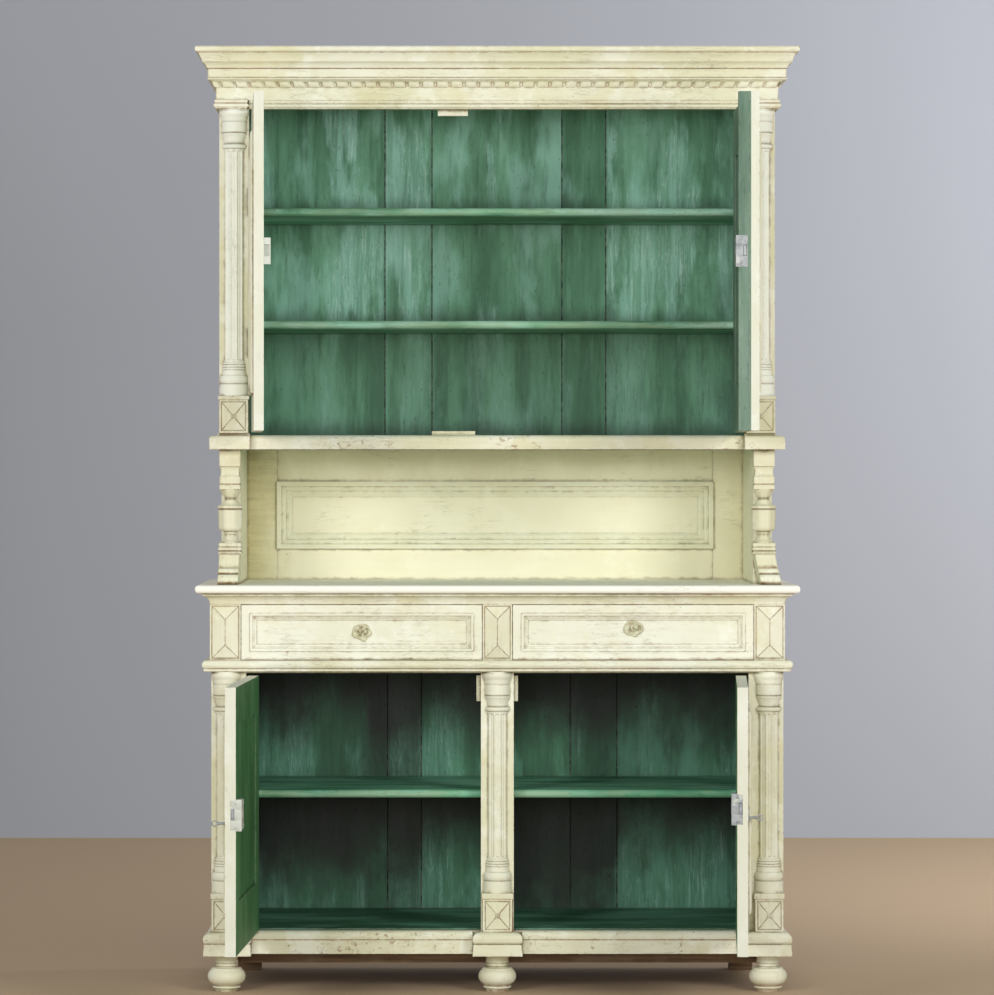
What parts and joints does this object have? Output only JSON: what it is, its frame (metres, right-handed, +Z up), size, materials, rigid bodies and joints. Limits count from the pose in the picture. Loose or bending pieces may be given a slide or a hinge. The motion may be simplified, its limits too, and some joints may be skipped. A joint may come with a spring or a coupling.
{
  "type": "welsh dresser",
  "caption": "Tall two-part painted wooden cupboard with framed doors, drawers, an open niche on turned brackets, turned half columns and a dentil cornice.",
  "frame": {"origin": "middle of the sole of the middle front foot, on the floor", "axes": "+Z up, +Y towards the back, +X to the right seen from the front"},
  "size_m": [1.512, 1.1133, 2.365],
  "materials": {
    "cream_paint": "matt, worn paint",
    "green_paint": "matt, worn paint",
    "raw_wood": "unpainted",
    "iron": "dull, worn"
  },
  "bodies": {
    "carcass": {"aprons": "cream_paint", "architrave_and_frieze": "cream_paint", "base_back_boards": "green_paint", "base_face_frame": "cream_paint", "base_floor": "green_paint", "base_plinth_blocks": "cream_paint", "base_shelf": "green_paint", "base_sides": "cream_paint", "bracket_balusters": "cream_paint", "bracket_blocks": "cream_paint", "bracket_boards": "cream_paint", "cornice": "cream_paint", "counter_cove": "cream_paint", "countertop": "cream_paint", "dentil_band": "cream_paint", "diamond_blocks": "cream_paint", "door_stops": "cream_paint", "drawer_runners": "raw_wood", "frame_hinge_leaves": "iron", "front_feet": "cream_paint", "half_columns": "cream_paint", "hip_blocks": "cream_paint", "niche_moulding": "cream_paint", "niche_panel": "cream_paint", "rear_feet_and_bearers": "raw_wood", "shelf_battens": "green_paint", "upper_back_boards": "green_paint", "upper_face_frame": "cream_paint", "upper_plinth_blocks": "cream_paint", "upper_shelves": "green_paint", "upper_sides": "cream_paint", "upper_top_and_floor": "cream_paint", "waist_moulding": "cream_paint"},
    "upper_left_door": {"upper_left_door_frame": "cream_paint", "upper_left_door_ironwork": "iron", "upper_left_door_panel": "cream_paint"},
    "upper_right_door": {"upper_right_door_frame": "cream_paint", "upper_right_door_ironwork": "iron", "upper_right_door_lock": "iron", "upper_right_door_panel": "cream_paint"},
    "base_left_door": {"base_left_door_frame": "cream_paint", "base_left_door_ironwork": "iron", "base_left_door_lock": "iron", "base_left_door_panel": "cream_paint"},
    "base_right_door": {"base_right_door_frame": "cream_paint", "base_right_door_ironwork": "iron", "base_right_door_lock": "iron", "base_right_door_panel": "cream_paint"},
    "base_left_door_bolt": {"base_left_door_bolt": "iron"},
    "base_left_door_key": {"base_left_door_key": "iron"},
    "base_right_door_bolt": {"base_right_door_bolt": "iron"},
    "base_right_door_key": {"base_right_door_key": "iron"},
    "left_drawer": {"left_drawer_box": "raw_wood", "left_drawer_front": "cream_paint", "left_drawer_rosette": "cream_paint"},
    "right_drawer": {"right_drawer_box": "raw_wood", "right_drawer_front": "cream_paint", "right_drawer_rosette": "cream_paint"},
    "upper_right_door_bolt": {"upper_right_door_bolt": "iron"}
  },
  "joints": [
    {"name": "upper_left_door_hinge", "type": "hinge", "parent": "carcass", "child": "upper_left_door", "pos_m": [-0.622, 0.03, 0], "axis": [0, 0, -1], "range_deg": [-86.95, 11.05]},
    {"name": "upper_right_door_hinge", "type": "hinge", "parent": "carcass", "child": "upper_right_door", "pos_m": [0.622, 0.03, 0], "axis": [0, 0, 1], "range_deg": [-89.7, 8.3]},
    {"name": "upper_right_door_bolt_slide", "type": "slide", "parent": "upper_right_door", "child": "upper_right_door_bolt", "axis": [-0.0052, -1, 0], "range_m": [0, 0.008]},
    {"name": "base_left_door_hinge", "type": "hinge", "parent": "carcass", "child": "base_left_door", "pos_m": [-0.6265, -0.025, 0], "axis": [0, 0, -1], "range_deg": [-92.9, 17.1]},
    {"name": "base_left_door_bolt_slide", "type": "slide", "parent": "base_left_door", "child": "base_left_door_bolt", "axis": [-0.0506, -0.9987, 0], "range_m": [0, 0.008]},
    {"name": "base_left_door_key_turn", "type": "hinge", "parent": "base_left_door", "child": "base_left_door_key", "pos_m": [-0.64931, -0.57405, 0.467], "axis": [-0.9987, 0.0506, 0], "range_deg": [0, 180]},
    {"name": "base_right_door_hinge", "type": "hinge", "parent": "carcass", "child": "base_right_door", "pos_m": [0.6265, -0.025, 0], "axis": [0, 0, 1], "range_deg": [-86.5, 23.5]},
    {"name": "base_right_door_bolt_slide", "type": "slide", "parent": "base_right_door", "child": "base_right_door_bolt", "axis": [-0.061, -0.9981, 0], "range_m": [0, 0.008]},
    {"name": "base_right_door_key_turn", "type": "hinge", "parent": "base_right_door", "child": "base_right_door_key", "pos_m": [0.58796, -0.57317, 0.481], "axis": [0.9981, -0.061, 0], "range_deg": [0, 180]},
    {"name": "left_drawer_slide", "type": "slide", "parent": "carcass", "child": "left_drawer", "axis": [0, -1, 0], "range_m": [0, 0.4]},
    {"name": "right_drawer_slide", "type": "slide", "parent": "carcass", "child": "right_drawer", "axis": [0, -1, 0], "range_m": [0, 0.4]}
  ],
  "couplings": [
    {"joint": "base_left_door_key_turn", "follows": "base_left_door_bolt_slide", "rad_per_m": 392.7},
    {"joint": "base_right_door_key_turn", "follows": "base_right_door_bolt_slide", "rad_per_m": 392.7}
  ]
}
